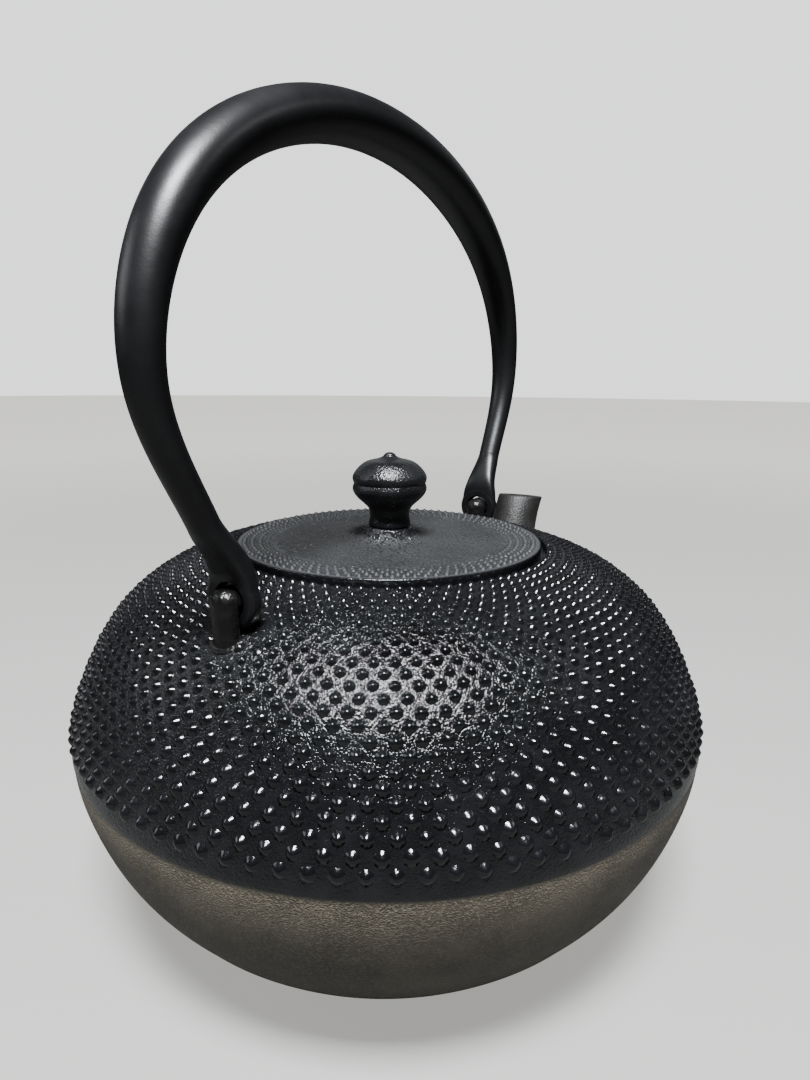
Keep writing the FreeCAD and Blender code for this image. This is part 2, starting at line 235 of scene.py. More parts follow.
def softened(corners, radius, steps=4):
    """The corners of an open outline, each inner one rounded off."""
    most = 0.45                    # share of a run that a rounding may take
    line = [corners[0]]
    for before, corner, after in zip(corners, corners[1:], corners[2:]):
        before, corner, after = (np.array(p, dtype=float) for p in (before, corner, after))
        enter = (before - corner) * min(radius / np.linalg.norm(before - corner), most)
        leave = (after - corner) * min(radius / np.linalg.norm(after - corner), most)
        for k in range(steps + 1):
            t = k / steps
            line.append(corner + enter * (1 - t) ** 2 + leave * t ** 2)
    line.append(corners[-1])
    return [tuple(float(v) for v in p) for p in line]


def circle(x, radius, count):
    """Points of a circle round the hoops' common axis."""
    turns = [2 * math.pi * k / count for k in range(count)]
    return [(x, radius * math.cos(turn), PIVOT_HEIGHT + radius * math.sin(turn)) for turn in turns]


def turned(outline, around):
    """Points and faces of a shape turned about Z. Its outline starts and ends on the axis, or is a ring."""
    on_axis = outline[0][0] < ON_AXIS and outline[-1][0] < ON_AXIS
    points = []
    faces = []
    rings = []
    for r, z in outline:
        if r < ON_AXIS:
            rings.append([len(points)] * around)
            points.append((0.0, 0.0, z))
            continue
        rings.append(list(range(len(points), len(points) + around)))
        for k in range(around):
            turn = 2 * math.pi * k / around
            points.append((r * math.cos(turn), r * math.sin(turn), z))
    pairs = list(zip(rings, rings[1:]))
    if not on_axis:
        pairs.append((rings[-1], rings[0]))
    for low, high in pairs:
        for k in range(around):
            n = (k + 1) % around
            corners = dict.fromkeys((low[k], low[n], high[n], high[k]))
            if len(corners) > 2:
                faces.append(tuple(corners))
    return points, faces


def lofted(rings, ring_closed=False):
    """Points and faces through rings of equal count, with a fan over each end or joined end to end."""
    points = [tuple(p) for ring in rings for p in ring]
    count = len(rings[0])
    faces = []
    spans = len(rings) if ring_closed else len(rings) - 1
    for k in range(spans):
        low = k * count
        high = ((k + 1) % len(rings)) * count
        for n in range(count):
            m = (n + 1) % count
            faces.append((low + n, low + m, high + m, high + n))
    if not ring_closed:
        for ring in (0, len(rings) - 1):
            middle = len(points)
            points.append(tuple(np.mean(np.array(rings[ring]), axis=0)))
            for n in range(count):
                faces.append((ring * count + n, ring * count + (n + 1) % count, middle))
    return points, faces


def shell(name, *solids, sharp=SHARP):
    """Mesh of closed solids with outward faces, smooth except at sharp edges."""
    mesh = bpy.data.meshes.new(name)
    work = bmesh.new()
    for points, faces in solids:
        made = [work.verts.new(p) for p in points]
        for face in faces:
            work.faces.new([made[k] for k in face])
    bmesh.ops.remove_doubles(work, verts=work.verts[:], dist=1e-6)
    bmesh.ops.recalc_face_normals(work, faces=work.faces[:])
    work.to_mesh(mesh)
    work.free()
    return shaded(mesh, sharp)


def shaded(mesh, sharp=SHARP):
    """The mesh with soft shading, crisp only at its sharp edges."""
    mesh.shade_smooth()
    mesh.set_sharp_from_angle(angle=sharp)
    return mesh


def finished(mesh, name, *steps):
    """Plain mesh that a chain of modifiers makes of a mesh. A step is a modifier's type and its settings."""
    carrier = bpy.data.objects.new(name, mesh)
    bpy.context.scene.collection.objects.link(carrier)
    for kind, settings in steps:
        modifier = carrier.modifiers.new(kind.lower(), kind)
        for key, value in settings.items():
            setattr(modifier, key, value)
    result = evaluated(carrier)
    bpy.data.objects.remove(carrier)
    return result


def evaluated(carrier):
    """Plain mesh of an object as its modifiers leave it."""
    bpy.context.view_layer.update()
    view = bpy.context.evaluated_depsgraph_get()
    return bpy.data.meshes.new_from_object(carrier.evaluated_get(view))


def carved(mesh, name, tools):
    """The mesh with each tool's solid cut out of it."""
    cutters = []
    steps = []
    for k, tool in enumerate(tools):
        cutter = bpy.data.objects.new(f"{name}_cutter_{k}", tool)
        bpy.context.scene.collection.objects.link(cutter)
        cutters.append(cutter)
        steps.append(("BOOLEAN", {"operation": "DIFFERENCE", "solver": "EXACT", "object": cutter}))
    result = finished(mesh, name, *steps)
    for cutter in cutters:
        bpy.data.objects.remove(cutter)
    return shaded(result)


def place(name, mesh, material, body, slot, *nodes):
    """Adds a finished mesh to the scene as a piece that rides on a body and stands for CAD nodes."""
    mesh.name = name
    mesh.materials.clear()
    mesh.materials.append(material)
    piece = bpy.data.objects.new(name, mesh)
    bpy.context.scene.collection.objects.link(piece)
    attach(piece, body)
    if nodes:
        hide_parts(*nodes)
    return piece


# ---------------------------------------------------------------- node trees

def socket_of(sockets, key):
    """A socket by its place, its identifier or its name."""
    if isinstance(key, int):
        return sockets[key]
    for socket in sockets:
        if socket.identifier == key:
            return socket
    return next(socket for socket in sockets if socket.name == key)


def feed(target, value):
    """Gives a socket a wire or a plain value."""
    if isinstance(value, Wire):
        value.graph.tree.links.new(value.socket, target)
    else:
        target.default_value = value


class Wire:
    """An output of a node. Sums on it add Math nodes."""

    def __init__(self, graph, socket):
        self.graph = graph
        self.socket = socket

    def beside(self, key):
        """Another output of the same node."""
        return Wire(self.graph, socket_of(self.socket.node.outputs, key))

    def maths(self, operation, *values):
        return self.graph.add("ShaderNodeMath", {"operation": operation}, dict(enumerate(values)))

    def __add__(self, other):
        return self.maths("ADD", self, other)

    __radd__ = __add__

    def __sub__(self, other):
        return self.maths("SUBTRACT", self, other)

    def __rsub__(self, other):
        return self.maths("SUBTRACT", other, self)

    def __mul__(self, other):
        return self.maths("MULTIPLY", self, other)

    __rmul__ = __mul__

    def __truediv__(self, other):
        return self.maths("DIVIDE", self, other)

    def __rtruediv__(self, other):
        return self.maths("DIVIDE", other, self)

    def __pow__(self, other):
        return self.maths("POWER", self, other)

    def __rpow__(self, other):
        return self.maths("POWER", other, self)

    def __mod__(self, other):
        return self.maths("FLOORED_MODULO", self, other)

    def __abs__(self):
        return self.maths("ABSOLUTE", self)

    def ramp(self, low, high):
        """0 below low, 1 above high, and a soft rise between."""
        return self.graph.add("ShaderNodeMapRange", {"interpolation_type": "SMOOTHSTEP"},
                              {"Value": self, "From Min": low, "From Max": high})


class Graph:
    """A node tree that is written as expressions."""

    def __init__(self, tree):
        self.tree = tree

    def add(self, kind, settings=None, sockets=None, output=0):
        """Adds a node: its settings first, then its sockets' values or wires. Gives one of its outputs."""
        node = self.tree.nodes.new(kind)
        for key, value in (settings or {}).items():
            setattr(node, key, value)
        for key, value in (sockets or {}).items():
            feed(socket_of(node.inputs, key), value)
        return Wire(self, socket_of(node.outputs, output)) if len(node.outputs) else node

    def point(self, x, y, z):
        return self.add("ShaderNodeCombineXYZ", {}, {0: x, 1: y, 2: z})

    def parts(self, vector):
        """X, Y and Z of a vector."""
        first = self.add("ShaderNodeSeparateXYZ", {}, {0: vector})
        return first, first.beside(1), first.beside(2)

    def noise(self, place, scale, detail, roughness=0.5):
        return self.add("ShaderNodeTexNoise", {}, {"Vector": place, "Scale": scale, "Detail": detail,
                                                   "Roughness": roughness})

    def mix(self, share, first, second):
        """Colour between two colours; a share of 1 gives the second."""
        return self.add("ShaderNodeMix", {"data_type": "RGBA"},
                        {"Factor_Float": share, "A_Color": first, "B_Color": second}, "Result_Color")

    def blend(self, share, first, second):
        """Number between two numbers; a share of 1 gives the second."""
        return self.add("ShaderNodeMix", {"data_type": "FLOAT"},
                        {"Factor_Float": share, "A_Float": first, "B_Float": second}, "Result_Float")

    def random(self, low, high, seed):
        return self.add("FunctionNodeRandomValue", {"data_type": "FLOAT"},
                        {"Min_001": low, "Max_001": high, "Seed": seed}, "Value_001")

    def close(self, geometry, material, output):
        """Ends a geometry tree with real faces, shaded smooth, in their material."""
        real = self.add("GeometryNodeRealizeInstances", {}, {"Geometry": geometry})
        smooth = self.add("GeometryNodeSetShadeSmooth", {}, {"Geometry": real})
        final = self.add("GeometryNodeSetMaterial", {}, {"Geometry": smooth, "Material": material})
        self.add("NodeGroupOutput", {}, {output: final})


def geometry_graph(name, guide, counts, numbers, output):
    """New geometry tree with named inputs, as a graph, and the node that gives the inputs."""
    tree = bpy.data.node_groups.new(name, "GeometryNodeTree")
    inputs = [(guide, "Geometry"), *((label, "Int") for label in counts),
              *((label, "Float") for label in numbers), ("Material", "Material")]
    for label, kind in inputs:
        tree.interface.new_socket(name=label, in_out="INPUT", socket_type=f"NodeSocket{kind}")
    tree.interface.new_socket(name=output, in_out="OUTPUT", socket_type="NodeSocketGeometry")
    graph = Graph(tree)
    return graph, graph.add("NodeGroupInput")


def shade(value, share):
    """A colour made lighter or darker."""
    return (*(min(1.0, c * share) for c in value[:3]), 1.0)


class Finish(Graph):
    """A material with one principled shader, whose patterns lie on Object coordinates."""
    SOCKETS = {"base": "Base Color", "roughness": "Roughness", "metallic": "Metallic", "normal": "Normal",
               "specular": "Specular IOR Level", "emission": "Emission Color",
               "emission_strength": "Emission Strength"}

    def __init__(self, name):
        self.material = bpy.data.materials.new(name)
        self.material.use_nodes = True
        super().__init__(self.material.node_tree)
        self.shader = self.tree.nodes["Principled BSDF"]
        self.at = self.add("ShaderNodeTexCoord", output="Object")

    def radius(self):
        """Distance from the kettle's axis."""
        x, y, _ = self.parts(self.at)
        return (x * x + y * y) ** 0.5

    def set(self, **values):
        """Feeds the shader's sockets and gives the material."""
        for key, value in values.items():
            feed(self.shader.inputs[self.SOCKETS[key]], value)
        return self.material

    def mottle(self, pattern, low, high, colour, dark, light):
        """A colour that wanders between two shares of itself as the pattern goes from low to high."""
        return self.mix(pattern.ramp(low, high), shade(colour, dark), shade(colour, light))

    def bump(self, height, depth, strength=1.0):
        """Normal from a height pattern, whose 0 to 1 stands for so many metres."""
        return self.add("ShaderNodeBump", {}, {"Strength": strength, "Distance": depth, "Height": height})


def kettle_iron(sizes, colours):
    """Gloss baked lacquer over cast grain on the shoulder, matte casting skin below the belly line."""
    f = Finish("kettle_iron")
    _, _, z = f.parts(f.at)
    grain = f.noise(f.at, 1300.0, 1.5)
    fine = f.noise(f.at, 2600.0, 1.0)
    patch = f.noise(f.at, 42.0, 4.0, 0.6)
    cloud = f.noise(f.at, 130.0, 3.0, 0.55)
    upper = (z + patch * 0.0016).ramp(sizes.belly_height - 0.0004, sizes.belly_height + 0.0012)
    lower_tone = f.mottle(patch, 0.35, 0.68, colours.bare_skin, 0.62, 1.1)
    lower_tone = f.mix(grain.ramp(0.46, 0.64) * 0.5, lower_tone, shade(colours.bare_skin, 1.8))
    upper_tone = f.mottle(cloud, 0.4, 0.7, colours.lacquer, 0.8, 1.5)
    gloss = 0.10 + patch.ramp(0.35, 0.7) * 0.06 + grain * 0.06
    dull = 0.52 + cloud * 0.18
    height = f.blend(upper, grain * 0.9 + fine * 1.3, grain * 1.2 + fine * 0.6)
    return f.set(base=f.mix(upper, lower_tone, upper_tone), roughness=f.blend(upper, dull, gloss),
                 normal=f.bump(height, 0.00021), specular=IRON_SHEEN)


def stud_iron(name, tone, gloss):
    """Lacquer where it runs smooth over the studs; gloss is its least roughness."""
    f = Finish(name)
    grain = f.noise(f.at, 1100.0, 1.5)
    patch = f.noise(f.at, 42.0, 4.0, 0.6)
    return f.set(base=f.mottle(patch, 0.4, 0.7, tone, 0.7, 1.3),
                 roughness=gloss + patch.ramp(0.35, 0.7) * 0.07 + grain * 0.06,
                 normal=f.bump(grain, 0.00010), specular=0.38)


def lid_iron(sizes, colours):
    """Leathery lacquered field, blacker round the knob, with a drier grey border and a worn gloss edge."""
    f = Finish("lid_iron")
    r = f.radius()
    leather = f.noise(f.at, 480.0, 1.5)
    grain = f.noise(f.at, 1700.0, 1.0)
    patch = f.noise(f.at, 55.0, 4.0, 0.6)
    border = r.ramp(sizes.lid_radius - 0.0024, sizes.lid_radius - 0.0016)
    worn = r.ramp(sizes.lid_radius - 0.0009, sizes.lid_radius - 0.0004)
    middle = 1.0 - r.ramp(0.010, 0.030)
    tone = f.mottle(patch, 0.35, 0.7, colours.lid_grey, 0.42, 0.8)
    tone = f.mix(border, tone, shade(colours.lid_grey, 1.0))
    tone = f.mix(middle * 0.8, tone, shade(colours.lacquer, 1.3))
    tone = f.mix(worn, tone, colours.lacquer)
    pit = 1.0 - leather.ramp(0.42, 0.54)
    rough = 0.20 + pit * 0.42 * (1.0 - border) + border * 0.14 + patch * 0.06 - worn * 0.16
    height = leather.ramp(0.38, 0.62) + grain * 0.5
    return f.set(base=tone, roughness=rough, normal=f.bump(height * (1.0 - border * 0.75), 0.00034),
                 specular=IRON_SHEEN)


def knob_iron(colours):
    """Pebbly gloss lacquer of the knob."""
    f = Finish("knob_iron")
    pebble = f.noise(f.at, 1500.0, 2.0)
    patch = f.noise(f.at, 160.0, 2.0)
    return f.set(base=f.mottle(patch, 0.4, 0.7, colours.lacquer, 0.8, 1.6), roughness=0.24 + patch * 0.12,
                 normal=f.bump(pebble, 0.00026), specular=IRON_SHEEN)


def hoop_iron(colours):
    """Black brown lacquer, rubbed glossy, over the hoops' rough casting."""
    f = Finish("hoop_iron")
    grain = f.noise(f.at, 900.0, 3.0, 0.55)
    patch = f.noise(f.at, 220.0, 3.0)
    return f.set(base=f.mottle(patch, 0.4, 0.7, colours.hoop_brown, 0.7, 1.5), roughness=0.17 + patch * 0.14,
                 normal=f.bump(grain, 0.00030, 0.9), specular=0.22)


def spout_iron(colours):
    """Dry grey brown casting of the spout."""
    f = Finish("spout_iron")
    grain = f.noise(f.at, 1100.0, 4.0, 0.6)
    patch = f.noise(f.at, 120.0, 3.0, 0.6)
    return f.set(base=f.mottle(patch, 0.35, 0.7, colours.spout_grey, 0.6, 1.2), roughness=0.40 + patch * 0.16,
                 normal=f.bump(grain, 0.00030, 0.9), specular=IRON_SHEEN)


def bail_lacquer(colours):
    """Smooth satin lacquer with a little orange peel."""
    f = Finish("bail_lacquer")
    peel = f.noise(f.at, 420.0, 2.0)
    grain = f.noise(f.at, 2400.0, 2.0)
    patch = f.noise(f.at, 60.0, 3.0, 0.55)
    return f.set(base=f.mottle(patch, 0.4, 0.7, colours.bail_black, 0.8, 1.4), roughness=0.33 + patch * 0.08,
                 normal=f.bump(peel * 0.7 + grain * 0.3, 0.00006, 0.8), specular=0.26)


def washer_brass(colours):
    """Stained brass with fine scratches."""
    f = Finish("washer_brass")
    stain = f.noise(f.at, 500.0, 3.0, 0.6)
    scratch = f.noise(f.at, 3000.0, 2.0)
    return f.set(base=f.mottle(stain, 0.4, 0.75, colours.brass, 1.0, 0.45), roughness=0.30 + stain * 0.25,
                 normal=f.bump(scratch, 0.00003, 0.6), metallic=1.0)


def finish(name, make, *given):
    """The material of that name, made once."""
    return bpy.data.materials.get(name) or make(*given)


# ---------------------------------------------------------------- hailstone studs

def stud_tree():
    """Rings of studs, every second one set half a step round, on the surface that an outline sweeps about Z.

    The rows' pitch starts at the first value and settles to the last one within a few rows. Studs sink away
    towards the hoops, the path of the bail's eyes and the spout's root.
    """
    settling = 5.0                 # rows
    clearing = (0.2, 1.0)          # share of a margin over which studs grow to their full height
    least = 0.12                   # lower studs than this share are left out
    sides, rings = 9, 4            # of a stud's cone
    bulge, sunk = 1.6, 1.12        # how round a stud is, and its height with the part below the skin
    behind = -1000.0               # makes the back of the kettle count as far from the spout
    g, given = geometry_graph(
        "hailstone_studs", "Outline", ("Around", "Rows", "Seed"),
        ("First row", "First pitch", "Last pitch", "First width", "Last width", "First height",
         "Last height", "Scatter", "Hoop distance", "Hoop half length", "Hoop half width", "Hoop margin",
         "Eye half thickness", "Eye half reach", "Spout height", "Spout half height", "Spout half width",
         "Spout margin"), "Studs")

    around = given.beside("Around")
    rows = given.beside("Rows")
    seed = given.beside("Seed")
    index = g.add("GeometryNodeInputIndex")
    turns = index / around + 0.0001    # a little over, so that a whole turn is never rounded down
    row = turns.maths("FLOOR", turns)
    column = index - row * around
    share = row / (rows - 1.0)
    pitch = given.beside("First pitch")
    last = given.beside("Last pitch")
    settled = 1.0 - math.exp(-1.0 / settling) ** row
    scatter = given.beside("Scatter")
    along = given.beside("First row") + row * last + (pitch - last) * settling * settled
    along = along + g.random(-1.0, 1.0, seed) * scatter
    line = g.add("GeometryNodeMeshToCurve", {}, {"Mesh": given.beside("Outline")})
    here = g.add("GeometryNodeSampleCurve", {"mode": "LENGTH", "use_all_curves": True},
                 {"Curves": line, "Length": along}, "Position")
    r, _, z = g.parts(here)
    out_r, _, out_z = g.parts(here.beside("Tangent"))
    turn = (column + (row % 2.0) * 0.5) * 2.0 * math.pi / around
    turn = turn + g.random(-1.0, 1.0, seed + 1.0) * scatter / r
    cosine = turn.maths("COSINE", turn)
    sine = turn.maths("SINE", turn)
    x = r * cosine
    y = r * sine
    outward = g.point(out_z * cosine, out_z * sine, 0.0 - out_r)

    along_hoop = abs(abs(x) - given.beside("Hoop distance"))
    past_end = along_hoop - given.beside("Hoop half length")
    past_side = abs(y) - given.beside("Hoop half width")
    from_legs = past_end.maths("MAXIMUM", past_end, past_side)
    past_face = along_hoop - given.beside("Eye half thickness")
    past_rim = abs(y) - given.beside("Eye half reach")
    from_eye = past_face.maths("MAXIMUM", past_face, past_rim)
    from_hoop = from_legs.maths("MINIMUM", from_legs, from_eye)
    clear_of_hoop = (from_hoop / given.beside("Hoop margin")).ramp(*clearing)
    across = y / given.beside("Spout half width")
    upward = (z - given.beside("Spout height")) / given.beside("Spout half height")
    from_spout = ((across * across + upward * upward) ** 0.5 - 1.0) * given.beside("Spout half width")
    from_spout = from_spout.maths("MAXIMUM", from_spout, x * behind)
    clear_of_spout = (from_spout / given.beside("Spout margin")).ramp(*clearing)
    clear = clear_of_hoop * clear_of_spout

    width = g.blend(share, given.beside("First width"), given.beside("Last width")) * 0.5
    width = width * (1.0 + g.random(-0.06, 0.06, seed + 2.0))
    height = g.blend(share, given.beside("First height"), given.beside("Last height"))
    height = height * (1.0 + g.random(-0.14, 0.10, seed + 3.0)) * clear
    points = g.add("GeometryNodePoints", {}, {"Count": around * rows, "Position": g.point(x, y, z)})
    facing = g.add("FunctionNodeAlignRotationToVector", {"axis": "Z"}, {"Vector": outward})

    cone = g.add("GeometryNodeMeshCone", {"fill_type": "NONE"},
                 {"Vertices": sides, "Side Segments": rings, "Radius Top": 0.0, "Radius Bottom": 1.0,
                  "Depth": 1.0})
    px, py, _ = g.parts(g.add("GeometryNodeInputPosition"))
    reach = (px * px + py * py) ** 0.5
    dome = 1.0 - (reach ** bulge) * sunk
    stud = g.add("GeometryNodeSetPosition", {}, {"Geometry": cone, "Position": g.point(px, py, dome)})
    kept = clear.maths("GREATER_THAN", clear, least)
    placed = g.add("GeometryNodeInstanceOnPoints", {},
                   {"Points": points, "Selection": kept, "Instance": stud, "Rotation": facing,
                    "Scale": g.point(width, width, height)})
    g.close(placed, given.beside("Material"), "Studs")
    return g.tree


def grown(tree, name, guide, values):
    """Plain mesh that a node tree makes from a guide line of (radius, height) or 3-D points."""
    mesh = bpy.data.meshes.new(name)
    points = [(p[0], 0.0, p[1]) if len(p) == 2 else tuple(p) for p in guide]
    mesh.from_pydata(points, [(k, k + 1) for k in range(len(points) - 1)], [])
    carrier = bpy.data.objects.new(name, mesh)
    bpy.context.scene.collection.objects.link(carrier)
    modifier = carrier.modifiers.new(tree.name, "NODES")
    modifier.node_group = tree
    for item in tree.interface.items_tree:
        if item.item_type == "SOCKET" and item.in_out == "INPUT" and item.name in values:
            modifier[item.identifier] = values[item.name]
    result = evaluated(carrier)
    carrier.modifiers.remove(modifier)
    bpy.data.objects.remove(carrier)
    if not result.polygons:
        raise RuntimeError(f"{name} came out empty")
    return result


def studded(name, guide, material, **values):
    """Plain mesh of rows of studs on the surface that a guide line sweeps.

    Where no hoops and spout are given, they are small and a metre away.
    """
    nothing = {"Hoop distance": 1.0, "Hoop half length": 0.001, "Hoop half width": 0.001,
               "Hoop margin": 0.001, "Eye half thickness": 0.001, "Eye half reach": 0.001,
               "Spout height": 1.0, "Spout half height": 0.001, "Spout half width": 0.001,
               "Spout margin": 0.001}
    named = {key.replace("_", " ").capitalize(): value for key, value in values.items()}
    tree = bpy.data.node_groups.get("hailstone_studs") or stud_tree()
    around = bpy.context.scene.kettle_studs.around
    return grown(tree, name, guide, {**nothing, **named, "Around": around, "Material": material})


# ---------------------------------------------------------------- outlines of the kettle

def outer_line(sizes):
    """Outside of the body from the edge of the base to the lip, as (radius, height)."""
    return body_line(sizes.base_radius, sizes.belly_radius, sizes.belly_height,
                     sizes.mouth_radius + sizes.lip_width, sizes.mouth_height)


@functools.cache
def body_line(base_radius, belly_radius, belly_height, lip, mouth_height):
    """The outer line, worked out once for each set of sizes."""
    points = [(base_radius, 0.0)]
    for out, down in reversed(BOWL_SHAPE):
        points.append((base_radius + (belly_radius - base_radius) * out, belly_height * (1 - down)))
    points.append((belly_radius, belly_height))
    for out, rise in SHOULDER_SHAPE:
        points.append((lip + (belly_radius - lip) * out, belly_height + (mouth_height - belly_height) * rise))
    points.append((lip, mouth_height))
    return smooth_line(points, BODY_STEPS)


def shoulder_line(sizes):
    """The part of the outer line above the belly."""
    line = outer_line(sizes)
    return line[line[:, 1] >= sizes.belly_height]


def skin_radius(sizes, z):
    """Radius of the shoulder at a height."""
    line = shoulder_line(sizes)
    return float(np.interp(z, line[:, 1], line[:, 0]))


def skin_height(sizes, r):
    """Height of the shoulder at a radius."""
    line = shoulder_line(sizes)[::-1]
    return float(np.interp(r, line[:, 0], line[:, 1]))


def inner_line(sizes):
    """Inside of the wall from the floor to the underside of the lid's seat."""
    line = outer_line(sizes)
    along = directions(line)
    inside = line + np.column_stack((-along[:, 1], along[:, 0])) * sizes.wall
    underside = sizes.mouth_height - sizes.recess_depth - sizes.seat_thickness
    kept = inside[(inside[:, 1] > sizes.wall) & (inside[:, 1] < underside)]
    upper = inside[BODY_STEPS // 2:]
    top = float(np.interp(underside, upper[:, 1], upper[:, 0]))
    return [tuple(p) for p in kept] + [(top, underside)]


def lid_edge_top(sizes):
    """Height of the lid's upper edge."""
    seat_gap = 0.0001
    return sizes.mouth_height - sizes.recess_depth + seat_gap + sizes.lid_rim


def lid_top_line(sizes):
    """Top of the lid from the knob's collar to the edge, as (radius, height)."""
    edge_top = lid_edge_top(sizes)
    collar = [(out, edge_top + rise) for out, rise in LID_COLLAR]
    mound = [(out, edge_top + rise) for out, rise in LID_MOUND] + [(sizes.lid_radius, edge_top)]
    return collar + list(smooth_line(mound, 60, start=(0.25, -0.97), end=(1.0, 0.0)))


def ledge(sizes, z):
    """How far the bare bowl lies back, at a height, from the line that the lacquered shoulder follows."""
    share = min(max((sizes.belly_height + LEDGE_RISE / 2 - z) / LEDGE_RISE, 0.0), 1.0)
    return LEDGE_DEPTH * share


def spout_streams(thinner):
    """The spout's middle line, and lines along its surface, or along its bore if made thinner by its wall."""
    around = 48
    line = smooth_line(SPOUT_LINE, 150)
    streams = []
    for k in range(around):
        turn = 2 * math.pi * k / around
        stream = []
        for x, z, slope, half_height, half_width in line:
            rise = math.radians(slope)
            up = (half_height - thinner) * math.cos(turn)
            stream.append((x - math.sin(rise) * up, (half_width - thinner) * math.sin(turn),
                           z + math.cos(rise) * up))
        streams.append(np.array(stream))
    return line, streams


def crossing(stream, test):
    """Place along a stream, in points, where the test first turns positive."""
    values = [test(p) for p in stream]
    for k in range(1, len(values)):
        if values[k - 1] <= 0.0 < values[k]:
            return k - 1 + values[k - 1] / (values[k - 1] - values[k])
    raise RuntimeError("a spout line never meets the surface that it should")


def at_place(stream, place):
    """Point at a place along a stream, which may lie between two of its points."""
    k = min(int(place), len(stream) - 2)
    return stream[k] + (stream[k + 1] - stream[k]) * (place - k)


# ---------------------------------------------------------------- pieces

class KETTLE_OT_stage(Operator):
    """Camera, pale floor and soft light"""
    bl_idname = "kettle.stage"
    bl_label = "Stage"
    STAND = (-0.1858, -0.1134, 0.1670)      # of the camera
    HEADING = 30.06                         # degrees from X towards Y
    DOWNWARD = 13.49                        # degrees below level
    ROLL = 0.455
    # Name, place, what it is aimed at, width, height, watts
    LAMPS = (("key", (-0.36, -0.20, 1.00), (-0.06, -0.04, 0.10), 0.32, 0.20, 62.0),
             ("window", (-0.75, 1.05, 0.75), (0.0, 0.0, 0.12), 0.7, 0.5, 4.5),
             ("fill", (0.6, -1.0, 1.1), (0.0, 0.0, 0.08), 0.4, 0.3, 2.0),
             ("wall", (2.7, 1.6, 1.3), (0.0, 0.0, 0.12), 5.0, 1.3, 12.0))

    def execute(self, context):
        scene = context.scene
        colours = scene.kettle_colours
        lens = bpy.data.cameras.new("kettle_camera")
        lens.sensor_width = 36.0
        lens.lens = 22.68
        lens.clip_start = 0.01
        camera = bpy.data.objects.new("kettle_camera", lens)
        scene.collection.objects.link(camera)
        heading = Matrix.Rotation(math.radians(self.HEADING - 90.0), 4, "Z")
        tilt = Matrix.Rotation(math.radians(90.0 - self.DOWNWARD), 4, "X")
        roll = Matrix.Rotation(math.radians(self.ROLL), 4, "Z")
        camera.matrix_world = Matrix.Translation(self.STAND) @ heading @ tilt @ roll
        scene.camera = camera

        top, bottom = -0.0001, -0.01
        points, faces = turned([(0.0, top), (1.2, top), (6.0, top), (6.0, bottom), (0.0, bottom)], 64)
        floor = bpy.data.objects.new("floor", shell("floor", (points, faces)))
        floor.data.materials.append(self.pale_floor(colours))
        scene.collection.objects.link(floor)

        world = bpy.data.worlds.new("studio")
        world.use_nodes = True
        sky = world.node_tree.nodes["Background"]
        seen = Graph(world.node_tree).add("ShaderNodeLightPath", output="Is Camera Ray")
        sky.inputs["Color"].default_value = (0.95, 0.96, 0.97, 1.0)
        feed(sky.inputs["Strength"], 0.05 + seen * 1.75)
        scene.world = world
        for lamp in self.LAMPS:
            self.lamp(scene, *lamp)
        return {"FINISHED"}

    def pale_floor(self, colours):
        """Floor that looks pale but throws little light on the kettle, so that its black stays deep. Its pale
        look is a painted glow that only the camera sees, stronger far off where the lamps' light falls away.
        """
        glow_most = 1.35
        f = Finish("floor_pale")
        soft = f.noise(f.at, 9.0, 3.0)
        seen = f.add("ShaderNodeLightPath", output="Is Camera Ray")
        # Painted light: the glow grows with distance to stand in for lamp light that falls away
        far = f.radius().ramp(0.1, 1.6)
        glow = f.mix(seen * (far * 0.80 + 0.55) / glow_most, (0.0, 0.0, 0.0, 1.0), colours.floor)
        f.set(emission=glow, emission_strength=glow_most)
        tone = f.mix(seen, shade(colours.floor, 0.12), shade(colours.floor, 0.24))
        return f.set(base=f.mix(soft * 0.08, tone, shade(colours.floor, 0.1)), roughness=0.9, specular=0.1)

    def lamp(self, scene, name, place, aim, width, height, power):
        """Rectangular light that the camera doesn't see."""
        light = bpy.data.lights.new(name, "AREA")
        light.shape = "RECTANGLE"
        light.size = width
        light.size_y = height
        light.energy = power
        light.color = (0.94, 0.97, 1.0)
        lamp = bpy.data.objects.new(name, light)
        scene.collection.objects.link(lamp)
        lamp.location = place
        lamp.visible_camera = False
        lamp.rotation_euler = (Vector(aim) - Vector(place)).to_track_quat("-Z", "Y").to_euler()


